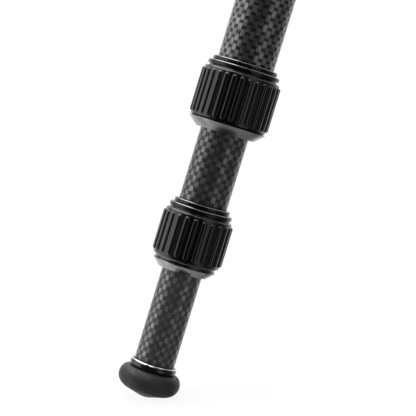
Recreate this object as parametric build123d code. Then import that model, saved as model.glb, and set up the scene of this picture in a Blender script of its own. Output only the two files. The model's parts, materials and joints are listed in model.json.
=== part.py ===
from build123d import *

import os
from dataclasses import dataclass
from math import cos, pi, radians, sin, tan

# Camera tripod with three identical three-section legs, twist locks and a centre column.
# Millimetres, +Z up. The origin lies on the floor, on the centre column's axis.
# A leg is modelled upright first: its own z runs up the tube from the foot's tip, its own x points
# outwards, and the finished pieces are then tilted and set at each leg's azimuth.

# Stance
leg_angle = 18.0
leg_length = 650.0
leg_azimuths = (210.0, 330.0, 90.0)

# Fits
running_fit = 0.05
bond_gap = 0.05
thread_gap = 0.10
seat_gap = 0.30
free_gap = 0.40

# Tubes, from the lowest section upwards
lower_tube_radius = 10.0
tube_wall = 1.2
bush_wall = 0.75
bush_length = 40.0
lower_exposed = 46.7
middle_exposed = 35.8
nesting_room = 12.0

# Rubber foot and its metal collar
foot_radius = 15.4
foot_sole_radius = 10.7
foot_top_radius = 11.8
foot_widest_height = 9.4
foot_height = 14.3
collar_radius = 11.6
collar_height = 3.7
collar_rounding = 0.64
stud_radius = 3.0
stud_depth = 7.5
plug_length = 20.0

# Twist locks, what both have in common
rib_height = 0.9
rib_width = 2.5
rib_margin = 0.9
grip_wall = 0.95
grip_shoulder = 0.57
rim_land = 0.2
neck_height = 0.7
ring_gap = 0.3
ring_height = 2.0
ring_groove = 0.5
wiper_height = 2.4
collet_nose_wall = 0.9
collet_wall = 2.5
collet_taper = 3.7
collet_height = 9.6
collet_split = 1.2
lip_height = 2.0

# Leg hinge
lug_radius = 11.0
lug_width = 20.0
lug_rise = 8.0
ear_width = 7.0
ear_gap = 0.4
pivot_radius = 4.0
bolt_head_radius = 6.5
bolt_head_height = 3.5
bolt_hex_radius = 2.9
socket_wall = 2.9
socket_length = 36.0
socket_cap = 4.0
socket_drop = 16.0
socket_chamfer = 1.45
lug_foot_half = 13.5
lug_foot_drop = 10.0
lug_foot_rounding = 4.0
lug_gap = 5.0

# Angle latch
latch_width = 11.0
latch_height = 5.4
latch_reach = 2.0
latch_tab_width = 17.0
latch_tab_height = 12.0
latch_tab_depth = 5.0
latch_tab_rounding = 2.4

# Hub and centre column
column_radius = 14.0
column_wall = 1.5
column_length = 292.0
hub_wall = 9.95
hub_rise = 16.0
hub_rounding = 2.0
neck_wall = 4.0
neck_rise = 24.0
column_nut_start = 6.0
column_nut_wall = 3.4
column_nut_cap = 3.0
column_nut_chamfer = 1.35
column_nut_flutes = 18
column_flute_radius = 1.6
column_flute_offset = 0.65
column_flute_margin = 4.7
head_gap = 2.5

# Head plate and stud
head_radius = 30.0
head_web = 8.0
head_rounding = 0.8
head_socket_depth = 14.0
head_socket_wall = 3.0
head_stud_radius = 4.76
head_stud_rise = 11.0
stud_relief = 0.4
stud_chamfer = 0.8
stud_flange_radius = 9.0
stud_flange_height = 3.0

# Column end cap and weight hook
cap_flange_radius = 16.5
cap_flange_height = 6.0
cap_plug_length = 16.0
cap_rounding = 2.4
hook_shank_radius = 3.0
hook_collar_radius = 5.5
hook_collar_height = 3.0
hook_ring_radius = 12.0
hook_wire_radius = 2.3
hook_opening_angle = 60.0

# Tube radii follow from how the sections nest
tube_step = bush_wall + running_fit + tube_wall
middle_tube_radius = lower_tube_radius + tube_step
upper_tube_radius = middle_tube_radius + tube_step


@dataclass(frozen=True)
class LockSize:
    """Sizes of one twist lock. Heights are counted up the leg from the face of its rim."""

    tube_radius: float
    base: float
    rim_flat: float
    rim_overhang: float
    bevel_height: float
    groove_height: float
    grip_length: float
    sleeve_wall: float
    nut_wall: float
    neck_step: float
    ring_step: float
    rib_count: int

    @property
    def outer_tube_radius(self):
        return self.tube_radius + tube_step

    @property
    def sleeve_radius(self):
        return self.outer_tube_radius + bond_gap + self.sleeve_wall

    @property
    def thread_radius(self):
        return self.sleeve_radius + thread_gap

    @property
    def seat_radius(self):
        return self.thread_radius + self.nut_wall

    @property
    def rim_radius(self):
        return self.seat_radius + self.rim_overhang

    @property
    def grip_radius(self):
        return self.seat_radius + bond_gap + grip_wall

    @property
    def rim_top(self):
        return self.bevel_height + rim_land

    @property
    def grip_base(self):
        return self.rim_top + self.groove_height

    @property
    def grip_top(self):
        return self.grip_base + self.grip_length

    @property
    def nut_top(self):
        return self.grip_top + neck_height

    @property
    def ring_base(self):
        return self.nut_top + ring_gap

    @property
    def top(self):
        return self.ring_base + 2 * ring_height + ring_gap

    @property
    def collet_base(self):
        return wiper_height + seat_gap

    @property
    def collet_top(self):
        return self.collet_base + collet_height

    @property
    def sleeve_base(self):
        return self.collet_top + free_gap

    @property
    def tube_end(self):
        return self.sleeve_base + lip_height + bond_gap


collar_top = foot_height + collar_height
lower_lock = LockSize(
    tube_radius=lower_tube_radius, base=collar_top + lower_exposed, rim_flat=2.4, rim_overhang=0.1,
    bevel_height=3.4, groove_height=1.8, grip_length=23.8, sleeve_wall=1.85, nut_wall=1.55,
    neck_step=0.5, ring_step=0.1, rib_count=24,
)
upper_lock = LockSize(
    tube_radius=middle_tube_radius, base=lower_lock.base + lower_lock.top + middle_exposed,
    rim_flat=2.5, rim_overhang=1.3, bevel_height=4.2, groove_height=0.1, grip_length=25.3,
    sleeve_wall=2.1, nut_wall=1.6, neck_step=0.9, ring_step=0.0, rib_count=30,
)

# Heights up the leg
socket_top = leg_length - socket_drop
upper_tube_top = socket_top - socket_cap - bond_gap
upper_tube_base = upper_lock.base + upper_lock.tube_end
middle_tube_base = lower_lock.base + lower_lock.tube_end
middle_tube_top = upper_tube_top - middle_exposed - nesting_room
lower_tube_base = collar_top + bond_gap
lower_tube_top = middle_tube_top - lower_exposed - nesting_room

# Places about the hub. Heights above the pivots are counted from pivot_height.
hub_bore = column_radius + running_fit
hub_radius = hub_bore + hub_wall
hinge_radius = hub_radius + lug_gap + lug_radius
foot_circle = hinge_radius + leg_length * sin(radians(leg_angle))
pivot_height = leg_length * cos(radians(leg_angle))
ear_inner = lug_width / 2 + ear_gap
ear_outer = ear_inner + ear_width
hub_base = pivot_height - lug_radius
hub_top = pivot_height + hub_rise
neck_radius = hub_bore + neck_wall
neck_top = hub_top + neck_rise
column_nut_base = hub_top + column_nut_start
column_collet_base = neck_top + free_gap
column_collet_top = column_collet_base + collet_height
column_nut_top = column_collet_top + seat_gap + column_nut_cap
head_base = column_nut_top + head_gap
head_web_base = head_base + head_socket_depth
head_top = head_web_base + head_web
column_top = head_web_base - bond_gap
column_base = column_top - column_length


def turned(outline):
    """Solid of revolution about Z, from its (radius, height) corners."""
    return revolve(make_face(Polyline(*[(r, 0, z) for r, z in outline], close=True)), Axis.Z)


def tube(outer, inner, base, top):
    """Plain round tube about Z."""
    return turned([(inner, base), (outer, base), (outer, top), (inner, top)])


def box(x_range, y_range, z_range):
    """Block between two values on each axis."""
    (x0, x1), (y0, y1), (z0, z1) = x_range, y_range, z_range
    return Pos((x0 + x1) / 2, (y0 + y1) / 2, (z0 + z1) / 2) * Box(x1 - x0, y1 - y0, z1 - z0)


def cross_bar(radius, y0, y1, x=0.0, z=0.0):
    """Round bar along Y between y0 and y1."""
    return Pos(x, (y0 + y1) / 2, z) * Rot(X=90) * Cylinder(radius, y1 - y0)


def circles(solid, radius, height):
    """Round edges of a turned solid at one radius and height."""
    return [
        e for e in solid.edges().filter_by(GeomType.CIRCLE)
        if abs(e.radius - radius) < 1e-3 and abs(e.arc_center.Z - height) < 1e-3
    ]


def quarter(start, end):
    """Rounding from start out to end, where its side stands upright."""
    (r0, z0), (r1, z1) = start, end
    mid = (r0 + (r1 - r0) * sin(pi / 4), z1 - (z1 - z0) * cos(pi / 4))
    return ThreePointArc((r0, 0, z0), (mid[0], 0, mid[1]), (r1, 0, z1))


def foot_pad():
    """Rubber foot: its cone rises at the leg's angle, so its inner side lies flat on the floor."""
    sole_height = foot_sole_radius * tan(radians(leg_angle))
    bore = stud_radius + bond_gap
    bore_base = foot_height - stud_depth - bond_gap
    sole, widest = (foot_sole_radius, sole_height), (foot_radius, foot_widest_height)
    shoulder = (foot_top_radius, foot_height - bond_gap)
    edges = [
        Line((0, 0, 0), (sole[0], 0, sole[1])),
        quarter(sole, widest),
        quarter(shoulder, widest),
        Polyline((shoulder[0], 0, shoulder[1]), (bore, 0, shoulder[1]), (bore, 0, bore_base),
                 (0, 0, bore_base), (0, 0, 0)),
    ]
    return revolve(make_face(edges), Axis.Z)


def foot_plug():
    """Collar bead, the stud that holds the rubber foot, and the plug bonded into the lower tube."""
    plug_radius = lower_tube_radius - tube_wall - bond_gap
    body = turned([
        (0, foot_height - stud_depth), (stud_radius, foot_height - stud_depth),
        (stud_radius, foot_height), (collar_radius, foot_height), (collar_radius, collar_top),
        (plug_radius, collar_top), (plug_radius, collar_top + plug_length),
        (0, collar_top + plug_length),
    ])
    rims = circles(body, collar_radius, foot_height) + circles(body, collar_radius, collar_top)
    return fillet(rims, collar_rounding)


def lock_nut(lock):
    """Twist-lock nut: bevelled rim, seat for the rubber grip, thread and the collet's taper."""
    bore = lock.tube_radius + free_gap
    ledge = lock.tube_radius + running_fit + collet_nose_wall + seat_gap
    chamber = lock.tube_radius + running_fit + collet_wall + seat_gap
    neck = lock.seat_radius - lock.neck_step
    return turned([
        (bore, 0), (lock.tube_radius + lock.rim_flat, 0), (lock.rim_radius, lock.bevel_height),
        (lock.rim_radius, lock.rim_top), (lock.seat_radius, lock.rim_top),
        (lock.seat_radius, lock.grip_top), (neck, lock.grip_top), (neck, lock.nut_top),
        (lock.thread_radius, lock.nut_top), (lock.thread_radius, lock.collet_top),
        (chamber, lock.collet_top), (chamber, wiper_height + collet_taper), (ledge, wiper_height),
        (bore, wiper_height),
    ])


def lock_grip(lock):
    """Rubber grip: a plain ring with raised ribs that stop short of its ends."""
    ring = tube(lock.grip_radius, lock.seat_radius + bond_gap, lock.grip_base, lock.grip_top)
    edges = circles(ring, lock.grip_radius, lock.grip_base) + circles(ring, lock.grip_radius, lock.grip_top)
    ring = fillet(edges, grip_shoulder)
    low, high = lock.grip_base + rib_margin, lock.grip_top - rib_margin
    root = lock.grip_radius - grip_wall / 2
    band = tube(lock.grip_radius + rib_height, root, low, high)
    bars = [
        Rot(Z=360.0 * i / lock.rib_count)
        * box((root - grip_wall, lock.grip_radius + 2 * rib_height), (-rib_width / 2, rib_width / 2), (low, high))
        for i in range(lock.rib_count)
    ]
    return ring + (band & Compound(bars))


def lock_sleeve(lock):
    """Sleeve bonded on the outer tube: thread under the nut, and the two thin rings above it."""
    inner = lock.outer_tube_radius + bond_gap
    lip = lock.tube_radius + free_gap
    ring_b = lock.seat_radius + lock.ring_step
    ring_a = lock.sleeve_radius
    b_top = lock.ring_base + ring_height
    a_base = b_top + ring_gap
    body = turned([
        (lip, lock.sleeve_base), (lock.sleeve_radius, lock.sleeve_base),
        (lock.sleeve_radius, lock.ring_base), (ring_b, lock.ring_base), (ring_b, b_top),
        (ring_a - ring_groove, b_top), (ring_a - ring_groove, a_base), (ring_a, a_base),
        (ring_a, lock.top), (inner, lock.top), (inner, lock.sleeve_base + lip_height),
        (lip, lock.sleeve_base + lip_height),
    ])
    return fillet(circles(body, ring_b, b_top) + circles(body, ring_a, lock.top), ring_groove)


def collet(tube_radius, base, nose_up=False):
    """Split taper ring that the nut squeezes on the tube. Its nose points down unless nose_up."""
    inner = tube_radius + running_fit
    nose, outer = inner + collet_nose_wall, inner + collet_wall
    heights = [0.0, collet_taper, collet_height]
    if nose_up:
        heights = [collet_height - h for h in heights]
    ring = turned([
        (inner, base + heights[0]), (nose, base + heights[0]), (outer, base + heights[1]),
        (outer, base + heights[2]), (inner, base + heights[2]),
    ])
    slot = box((0, outer + collet_wall), (-collet_split / 2, collet_split / 2),
               (base - collet_height, base + 2 * collet_height))
    return ring - slot


def bush(tube_radius, top):
    """Guide bush bonded round the top of a sliding section."""
    return tube(tube_radius + bush_wall, tube_radius + bond_gap, top - bush_length, top)


def latch_slot(clearance):
    """Height range, counted from the pivot, of the latch or of the slot that it slides in."""
    middle = lug_rise + latch_height / 2
    return middle - latch_height / 2 - clearance, middle + latch_height / 2 + clearance


def hinge_head():
    """Casting on top of the leg: socket for the tube, pivot lug and the latch's slot."""
    outer = upper_tube_radius + bond_gap + socket_wall
    socket = turned([
        (upper_tube_radius + bond_gap, socket_top - socket_length), (outer, socket_top - socket_length),
        (outer, socket_top), (0, socket_top), (0, socket_top - socket_cap),
        (upper_tube_radius + bond_gap, socket_top - socket_cap),
    ])
    socket = fillet(circles(socket, outer, socket_top), socket_wall)
    socket = chamfer(circles(socket, outer, socket_top - socket_length), socket_chamfer)
    half = lug_width / 2
    lug = box((-lug_radius, lug_radius), (-half, half), (-socket_drop - socket_cap / 2, lug_rise))
    lug += cross_bar(lug_radius, -half, half, z=lug_rise)
    foot = box((-lug_foot_half, lug_foot_half), (-half, half), (-socket_drop - socket_cap / 2, -lug_foot_drop))
    foot = fillet(foot.edges().filter_by(Axis.Y).group_by(Axis.Z)[-1], lug_foot_rounding)
    lug += foot
    lug -= cross_bar(pivot_radius + running_fit, -lug_width, lug_width)
    slot_half = latch_width / 2 + seat_gap
    lug -= box((-2 * lug_radius, 2 * lug_radius), (-slot_half, slot_half), latch_slot(seat_gap))
    return socket + Pos(0, 0, leg_length) * lug


def angle_latch():
    """Sliding stop: its tongue meets the hub, and its tab is pulled to free the leg."""
    inner_end = -(lug_radius + latch_reach)
    tab_start = lug_radius + seat_gap
    tongue = box((inner_end, tab_start + latch_tab_depth / 2), (-latch_width / 2, latch_width / 2), latch_slot(0))
    middle = lug_rise + latch_height / 2
    tab = box((tab_start, tab_start + latch_tab_depth), (-latch_tab_width / 2, latch_tab_width / 2),
              (middle - latch_tab_height / 2, middle + latch_tab_height / 2))
    tab = fillet(tab.edges().filter_by(Axis.X), latch_tab_rounding)
    return Pos(0, 0, leg_length) * (tongue + tab)


def leg_pieces():
    """Every piece of one leg, upright in the leg's own frame."""
    pieces = {
        "hinge_head": hinge_head(),
        "angle_latch": angle_latch(),
        "upper_tube": tube(upper_tube_radius, upper_tube_radius - tube_wall, upper_tube_base, upper_tube_top),
        "middle_tube": tube(middle_tube_radius, middle_tube_radius - tube_wall, middle_tube_base, middle_tube_top),
        "lower_tube": tube(lower_tube_radius, lower_tube_radius - tube_wall, lower_tube_base, lower_tube_top),
        "middle_bush": bush(middle_tube_radius, middle_tube_top),
        "lower_bush": bush(lower_tube_radius, lower_tube_top),
        "foot_plug": foot_plug(),
        "foot_pad": foot_pad(),
    }
    for name, lock in (("upper_lock", upper_lock), ("lower_lock", lower_lock)):
        place = Pos(0, 0, lock.base)
        pieces[name + "_nut"] = place * lock_nut(lock)
        pieces[name + "_grip"] = place * lock_grip(lock)
        pieces[name + "_sleeve"] = place * lock_sleeve(lock)
        pieces[name + "_collet"] = place * collet(lock.tube_radius, lock.collet_base)
    return pieces


def leg_place(azimuth):
    """Where a leg stands: foot's tip on the floor, tube tilted towards the column."""
    return Rot(Z=azimuth) * Pos(foot_circle, 0, 0) * Rot(Y=-leg_angle)


def hinge_place(azimuth):
    """Pivot's frame: x outwards, y along the pivot, z straight up."""
    return Rot(Z=azimuth) * Pos(hinge_radius, 0, pivot_height)


def clevis():
    """Two ears that hold one leg's pivot bolt, in the pivot's frame."""
    root = hub_bore - hinge_radius + hub_wall / 3
    side = box((root, 0), (ear_inner, ear_outer), (-lug_radius, lug_radius))
    side += cross_bar(lug_radius, ear_inner, ear_outer)
    web = make_face(Polyline((root, 0, lug_radius), (0, 0, lug_radius),
                             (hub_radius - hinge_radius, 0, hub_rise), (root, 0, hub_rise), close=True))
    side += Pos(0, ear_outer, 0) * extrude(web, ear_width, dir=(0, -1, 0))
    side -= cross_bar(pivot_radius + bond_gap, 0, 2 * ear_outer)
    return side + mirror(side, Plane.XZ)


def spider():
    """Hub with three clevises, a bored neck for the column's lock and a stop face for each latch."""
    body = turned([
        (hub_bore, hub_base), (hub_radius, hub_base), (hub_radius, hub_top), (neck_radius, hub_top),
        (neck_radius, neck_top), (hub_bore, neck_top),
    ])
    body = fillet(circles(body, hub_radius, hub_base) + circles(body, hub_radius, hub_top), hub_rounding)
    for azimuth in leg_azimuths:
        body += hinge_place(azimuth) * clevis()
    body -= Pos(0, 0, pivot_height) * Cylinder(hub_bore, 4 * neck_rise)
    stop = -(lug_radius + latch_reach + seat_gap)
    pocket = box((stop, lug_radius), (-ear_inner, ear_inner), (-lug_radius / 2, lug_rise + 1.5 * lug_radius))
    for azimuth in leg_azimuths:
        body -= hinge_place(azimuth) * Rot(Y=-leg_angle) * pocket
    return body


def hinge_hardware():
    """Pivot bolt and nut of each leg hinge."""
    shank_end = ear_outer + bond_gap + bolt_head_height
    bolt = cross_bar(pivot_radius, -shank_end, ear_outer + bond_gap)
    bolt += cross_bar(bolt_head_radius, ear_outer + bond_gap, shank_end)
    hexagon = extrude(RegularPolygon(bolt_hex_radius, 6), bolt_head_height / 2, both=True)
    bolt -= Pos(0, shank_end, 0) * Rot(X=90) * hexagon
    nut = cross_bar(bolt_head_radius, -shank_end, -ear_outer - bond_gap)
    nut -= cross_bar(pivot_radius + bond_gap, -2 * shank_end, 0)
    pair = [bolt, nut]
    return Compound([hinge_place(a) * solid for a in leg_azimuths for piece in pair for solid in piece.solids()])


def column_nut():
    """Twist-lock nut of the column: it screws on the hub's neck and presses the collet down."""
    bore = column_radius + free_gap
    ledge = column_radius + running_fit + collet_nose_wall + seat_gap
    chamber = column_radius + running_fit + collet_wall + seat_gap
    thread = neck_radius + thread_gap
    outer = thread + column_nut_wall
    inner_top = column_collet_top + seat_gap
    body = turned([
        (thread, column_nut_base), (outer, column_nut_base), (outer, column_nut_top), (bore, column_nut_top),
        (bore, inner_top), (ledge, inner_top), (chamber, inner_top - collet_taper), (chamber, column_collet_base),
        (thread, column_collet_base),
    ])
    ends = circles(body, outer, column_nut_base) + circles(body, outer, column_nut_top)
    body = chamfer(ends, column_nut_chamfer)
    flute = Cylinder(column_flute_radius, column_nut_top - column_nut_base - 2 * column_flute_margin)
    middle = (column_nut_top + column_nut_base) / 2
    for i in range(column_nut_flutes):
        turn = Rot(Z=360.0 * i / column_nut_flutes)
        body -= turn * Pos(outer + column_flute_offset, 0, middle) * flute
    return body


def head_plate():
    """Round plate that a tripod head rests on, with the socket for the column."""
    socket_radius = column_radius + bond_gap + head_socket_wall
    body = turned([
        (column_radius + bond_gap, head_base), (socket_radius, head_base),
        (socket_radius, head_web_base - head_socket_wall), (head_radius, head_web_base + head_socket_wall / 2),
        (head_radius, head_top), (head_stud_radius + bond_gap, head_top),
        (head_stud_radius + bond_gap, head_web_base), (column_radius + bond_gap, head_web_base),
    ])
    return fillet(circles(body, head_radius, head_top), head_rounding)


def head_stud():
    """Stud with the standard head thread, held by its flange under the plate."""
    top = head_top + head_stud_rise
    body = turned([
        (0, head_web_base - bond_gap - stud_flange_height),
        (stud_flange_radius, head_web_base - bond_gap - stud_flange_height),
        (stud_flange_radius, head_web_base - bond_gap),
        (head_stud_radius - stud_relief, head_web_base - bond_gap), (head_stud_radius - stud_relief, head_top),
        (head_stud_radius, head_top), (head_stud_radius, top), (0, top),
    ])
    return chamfer(circles(body, head_stud_radius, top), stud_chamfer)


def column_end_cap():
    """Plug in the column's lower end, with the flange that stops the column's upward travel."""
    plug_radius = column_radius - column_wall - bond_gap
    bore = hook_shank_radius + running_fit
    body = turned([
        (bore, column_base - bond_gap - cap_flange_height),
        (cap_flange_radius, column_base - bond_gap - cap_flange_height),
        (cap_flange_radius, column_base - bond_gap), (plug_radius, column_base - bond_gap),
        (plug_radius, column_base + cap_plug_length), (bore, column_base + cap_plug_length),
    ])
    return fillet(circles(body, cap_flange_radius, column_base - bond_gap - cap_flange_height), cap_rounding)


hook_collar_top = column_base - bond_gap - cap_flange_height - seat_gap
hook_ring_top = hook_collar_top - hook_collar_height
hook_ring_height = hook_ring_top - hook_ring_radius


def weight_hook():
    """Open ring on a swivel shank, kept in the end cap by a head on its upper end."""
    shank_top = column_base + cap_plug_length + seat_gap
    shank = turned([
        (0, hook_ring_top - hook_wire_radius), (hook_collar_radius, hook_ring_top - hook_wire_radius),
        (hook_collar_radius, hook_collar_top), (hook_shank_radius, hook_collar_top),
        (hook_shank_radius, shank_top), (hook_collar_radius, shank_top),
        (hook_collar_radius, shank_top + hook_collar_height), (0, shank_top + hook_collar_height),
    ])
    section = Plane.YZ * Pos(0, hook_ring_radius) * Circle(hook_wire_radius)
    ring = revolve(section, Axis.Y, revolution_arc=360.0 - hook_opening_angle)
    return shank + Pos(0, 0, hook_ring_height) * ring


centre = {
    "spider": spider(),
    "hinge_hardware": hinge_hardware(),
    "column_tube": tube(column_radius, column_radius - column_wall, column_base, column_top),
    "column_collet": collet(column_radius, column_collet_base, nose_up=True),
    "column_lock_nut": column_nut(),
    "head_plate": head_plate(),
    "head_stud": head_stud(),
    "column_end_cap": column_end_cap(),
    "weight_hook": weight_hook(),
}
leg = leg_pieces()

os.makedirs("parts", exist_ok=True)
for name, shape in centre.items():
    export_step(shape, f"parts/{name}.step")
for number, azimuth in enumerate(leg_azimuths, start=1):
    for name, shape in leg.items():
        export_step(leg_place(azimuth) * shape, f"parts/leg_{number}_{name}.step")
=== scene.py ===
import json
import logging
import math
from collections.abc import Callable, Iterator
from contextlib import contextmanager
from dataclasses import dataclass, field, replace
from enum import Enum

import bmesh
import bpy
from mathutils import Matrix, Vector


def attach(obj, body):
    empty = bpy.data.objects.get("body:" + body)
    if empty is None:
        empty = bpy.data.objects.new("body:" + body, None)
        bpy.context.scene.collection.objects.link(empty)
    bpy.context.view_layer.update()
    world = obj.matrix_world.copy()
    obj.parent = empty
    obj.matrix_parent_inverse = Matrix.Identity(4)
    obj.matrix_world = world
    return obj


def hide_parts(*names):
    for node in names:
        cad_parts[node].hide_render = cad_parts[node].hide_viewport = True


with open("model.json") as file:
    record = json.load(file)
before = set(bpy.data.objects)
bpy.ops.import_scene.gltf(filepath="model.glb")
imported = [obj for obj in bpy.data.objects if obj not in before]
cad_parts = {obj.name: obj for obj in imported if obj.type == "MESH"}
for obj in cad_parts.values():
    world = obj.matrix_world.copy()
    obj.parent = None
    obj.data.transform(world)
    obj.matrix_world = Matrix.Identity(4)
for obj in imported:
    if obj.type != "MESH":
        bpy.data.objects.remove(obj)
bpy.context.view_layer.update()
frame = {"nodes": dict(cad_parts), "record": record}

log = logging.getLogger("tripod")

MM = 0.001
SMOOTH_ANGLE = math.radians(32)
BEVEL_ANGLE = math.radians(28)
ON_AXIS = 1e-7
SAME_POINT = 1e-6
SLIVER = 2e-6
LEG_AZIMUTHS = (210.0, 330.0, 90.0)
LAMP_AIM = Vector((-0.12, -0.07, 0.2))

Outline = list[tuple[float, float]]
Pairs = tuple[tuple[float, float], ...]
Socket = bpy.types.NodeSocket


class Slot(Enum):
    """The record's material slots that pieces take their finish from."""

    CARBON = "carbon"
    GRIP_RUBBER = "grip_rubber"
    FOOT_RUBBER = "foot_rubber"
    SATIN_METAL = "satin_metal"
    GLOSS_BLACK = "gloss_black"
    CAST_BLACK = "cast_black"
    NYLON = "nylon"
    STEEL = "steel"


# Shader nodes


class Graph:
    """Writes nodes into one node tree."""

    def __init__(self, tree: bpy.types.NodeTree) -> None:
        """Keep the tree that nodes go into.

        Args:
            tree: a material's, group's or world's node tree.
        """
        self.tree = tree

    def add(self, kind: str, **settings: object) -> bpy.types.Node:
        """Add a node.

        Args:
            kind: the node's type without its ShaderNode prefix.
            **settings: properties to set on it.

        Returns:
            The node.
        """
        node = self.tree.nodes.new("ShaderNode" + kind)
        for name, value in settings.items():
            setattr(node, name, value)
        return node

    def feed(self, socket: Socket, value: object) -> None:
        """Give an input its value, or link an output to it.

        Args:
            socket: the input.
            value: a number, a colour, a vector or another node's output.
        """
        if isinstance(value, Socket):
            self.tree.links.new(value, socket)
        else:
            socket.default_value = value

    def fed(self, kind: str, *values: object, **settings: object) -> bpy.types.Node:
        """Add a node and feed its first inputs.

        Args:
            kind: the node's type without its ShaderNode prefix.
            *values: what its inputs get, in their order.
            **settings: properties to set on it.

        Returns:
            The node.
        """
        node = self.add(kind, **settings)
        for socket, value in zip(node.inputs, values):
            self.feed(socket, value)
        return node

    def math(self, operation: str, *values: object) -> Socket:
        """Work out one operation on up to three values."""
        return self.fed("Math", *values, operation=operation).outputs[0]

    def plus(self, first: object, second: object) -> Socket:
        """Add two values."""
        return self.math("ADD", first, second)

    def minus(self, first: object, second: object) -> Socket:
        """Take the second value from the first."""
        return self.math("SUBTRACT", first, second)

    def times(self, first: object, second: object) -> Socket:
        """Multiply two values."""
        return self.math("MULTIPLY", first, second)

    def over(self, first: object, second: object) -> Socket:
        """Divide the first value by the second."""
        return self.math("DIVIDE", first, second)

    def ramp(self, value: object, low: float, high: float, to_low: object, to_high: object) -> Socket:
        """Carry a value smoothly from one range to another, clamped at both ends."""
        given = (value, low, high, to_low, to_high)
        return self.fed("MapRange", *given, interpolation_type="SMOOTHSTEP").outputs[0]

    def noise(self, vector: object, scale: object, detail: float = 2.0) -> Socket:
        """Read a noise of some scale and detail; the input between is for a fourth dimension."""
        return self.fed("TexNoise", vector, 0.0, scale, detail).outputs[0]

    def mix(self, factor: object, first: object, second: object) -> Socket:
        """Mix two colours.

        Args:
            factor: share of the second colour.
            first: the first colour.
            second: the second colour.

        Returns:
            The mixed colour's socket.
        """
        node = self.add("Mix", data_type="RGBA")
        names = {socket.identifier: socket for socket in (*node.inputs, *node.outputs)}
        for name, value in (("Factor_Float", factor), ("A_Color", first), ("B_Color", second)):
            self.feed(names[name], value)
        return names["Result_Color"]

    def steps(self, value: object, stops: Pairs) -> Socket:
        """Carry a value from 0 to 1 through grey stops.

        Args:
            value: the socket to carry.
            stops: (value, grey level) pairs in rising order.

        Returns:
            The grey level's socket.
        """
        node = self.fed("ValToRGB", value)
        elements = node.color_ramp.elements
        while len(elements) < len(stops):
            elements.new(0.5)
        for element, (place, grey) in zip(elements, stops):
            element.position = place
            element.color = (grey, grey, grey, 1)
        return node.outputs[0]

    def split(self, vector: object) -> list[Socket]:
        """Split a vector into its three parts."""
        return list(self.fed("SeparateXYZ", vector).outputs)

    def join(self, x: object, y: object, z: object) -> Socket:
        """Make a vector or a colour of three values."""
        return self.fed("CombineXYZ", x, y, z).outputs[0]

    def group(self, name: str, **values: object) -> bpy.types.Node:
        """Place a shared node group with its own values.

        Args:
            name: the group's name.
            **values: input values, with underscores for spaces.

        Returns:
            The group's node.
        """
        node = self.add("Group")
        node.node_tree = bpy.data.node_groups[name]
        for key, value in values.items():
            self.feed(node.inputs[key.replace("_", " ")], value)
        return node

    def speckle(self, vector: Socket, scale: float, low: float, high: float) -> Socket:
        """Read the shared speckle between a low and a high value."""
        return self.group("fine_speckle", Vector=vector, Scale=scale, Low=low, High=high).outputs[0]


class EffectGroup:
    """A shader node group with named inputs and outputs."""

    def __init__(self, name: str, inputs: dict[str, object], outputs: dict[str, str]) -> None:
        """Make the group's sockets.

        Args:
            name: the group's name.
            inputs: each input's name with its default, or None for a vector.
            outputs: each output's name with its socket type.
        """
        self.tree = bpy.data.node_groups.new(name, "ShaderNodeTree")
        for key, value in inputs.items():
            kind = "NodeSocketVector" if value is None else "NodeSocketFloat"
            socket = self.tree.interface.new_socket(name=key, in_out="INPUT", socket_type=kind)
            if value is not None:
                socket.default_value = value
        for key, kind in outputs.items():
            self.tree.interface.new_socket(name=key, in_out="OUTPUT", socket_type=kind)
        self.graph = Graph(self.tree)
        self.given = self.tree.nodes.new("NodeGroupInput").outputs
        self.result = self.tree.nodes.new("NodeGroupOutput").inputs

    def give(self, **values: object) -> None:
        """Feed the group's outputs, each named with underscores for spaces."""
        for key, value in values.items():
            self.graph.feed(self.result[key.replace("_", " ")], value)


FLOAT = "NodeSocketFloat"
COLOR = "NodeSocketColor"


def make_speckle_group() -> None:
    """Fine uneven shade, between a low and a high value."""
    group = EffectGroup(
        "fine_speckle", {"Vector": None, "Scale": 500.0, "Low": 0.0, "High": 1.0}, {"Value": FLOAT})
    g = group.graph
    noise = g.noise(group.given["Vector"], group.given["Scale"], 3.0)
    group.give(Value=g.ramp(noise, 0.32, 0.68, group.given["Low"], group.given["High"]))


def make_turning_group() -> None:
    """Fine rings that a lathe leaves, the same all the way round the axis."""
    group = EffectGroup(
        "turned_rings", {"Vector": None, "Density": 5000.0, "Depth": 1.0}, {"Height": FLOAT, "Shade": FLOAT})
    g = group.graph
    x, y, z = g.split(group.given["Vector"])
    radius = g.math("SQRT", g.plus(g.times(x, x), g.times(y, y)))
    rings = g.noise(g.join(radius, 0.0, z), group.given["Density"], 2.0)
    group.give(Height=g.times(rings, group.given["Depth"]), Shade=rings)


def from_middle(g: Graph, value: Socket) -> Socket:
    """How far a value is from the middle of its whole step, from 0 to 1."""
    return g.math("ABSOLUTE", g.minus(g.times(g.math("FRACT", value), 2.0), 1.0))


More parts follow.
